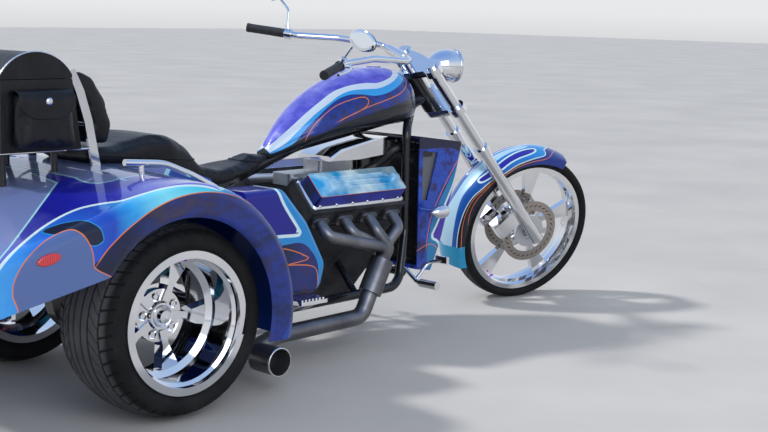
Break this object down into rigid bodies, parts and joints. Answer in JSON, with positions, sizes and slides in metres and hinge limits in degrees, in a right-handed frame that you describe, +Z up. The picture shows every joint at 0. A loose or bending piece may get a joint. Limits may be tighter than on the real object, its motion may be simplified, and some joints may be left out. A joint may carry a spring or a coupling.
{
  "type": "motorized trike",
  "caption": "Three-wheeled open vehicle: two wide driven wheels under a moulded body, a raked fork with one steered wheel, and an open V engine between them.",
  "frame": {"origin": "on the ground below the middle of the trike's box, front wheel turned as shown", "axes": "+X forward, +Y to the rider's left, +Z up"},
  "size_m": [3.5091, 1.416, 1.4399],
  "materials": {
    "paint": "deep gloss candy blue",
    "chrome": "polished chrome",
    "tyre": "matt black rubber",
    "disc": "machined",
    "black_metal": "gloss black",
    "engine": "satin black cast iron",
    "alloy": "cast, satin",
    "header": "satin dark grey",
    "leather": "soft black leather",
    "grip_rubber": "matt",
    "hose": "satin",
    "lens_red": "moulded red lens",
    "mirror_shell": "polished"
  },
  "bodies": {
    "chassis": {"air_scoop": "chrome", "backrest_pad": "leather", "body_centre": "paint", "coolant_hoses": "hose", "engine_block": "engine", "exhaust_left": "header", "exhaust_right": "header", "fender_left": "paint", "fender_right": "paint", "floorboards": "chrome", "foot_controls": "chrome", "frame": "black_metal", "front_drive": "alloy", "fuel_tank": "paint", "gearbox": "alloy", "grab_rails": "chrome", "intake_manifold": "alloy", "luggage_rack": "chrome", "pouches": "leather", "radiator": "black_metal", "radiator_shroud": "paint", "rear_axle": "black_metal", "seat": "leather", "side_cowls": "paint", "side_lamps": "lens_red", "tail_lamps": "lens_red", "trunk_box": "leather", "turn_signals": "chrome", "valve_covers": "paint"},
    "fork": {"triple_clamps": "chrome", "fork_legs": "chrome", "front_fender": "paint", "headlamp": "chrome", "handlebar": "chrome", "grips": "grip_rubber", "mirrors": "mirror_shell", "hand_levers": "chrome", "front_calipers": "chrome"},
    "front_wheel": {"front_rim": "chrome", "front_tyre": "tyre", "front_discs": "disc"},
    "rear_wheel_right": {"rear_rim_right": "chrome", "rear_tyre_right": "tyre"},
    "rear_wheel_left": {"rear_rim_left": "chrome", "rear_tyre_left": "tyre"},
    "lid": {"trunk_lid": "leather"}
  },
  "joints": [
    {"name": "steering", "type": "hinge", "parent": "chassis", "child": "fork", "pos_m": [0.75632, 0, 0.9645], "axis": [-0.682, 0, 0.7314], "range_deg": [-10, 50]},
    {"name": "front_wheel_spin", "type": "hinge", "parent": "fork", "child": "front_wheel", "pos_m": [1.41135, -0.02052, 0.34473], "axis": [0.2501, 0.9397, 0.2333], "continuous": true},
    {"name": "rear_wheel_right_spin", "type": "hinge", "parent": "chassis", "child": "rear_wheel_right", "pos_m": [-0.98, -0.477, 0.325], "axis": [0, 1, 0], "continuous": true},
    {"name": "rear_wheel_left_spin", "type": "hinge", "parent": "chassis", "child": "rear_wheel_left", "pos_m": [-0.98, 0.477, 0.325], "axis": [0, 1, 0], "continuous": true},
    {"name": "trunk_lid_hinge", "type": "hinge", "parent": "chassis", "child": "lid", "pos_m": [-1.28, 0.256, 1.091], "axis": [-1, 0, 0], "range_deg": [0, 85]}
  ]
}
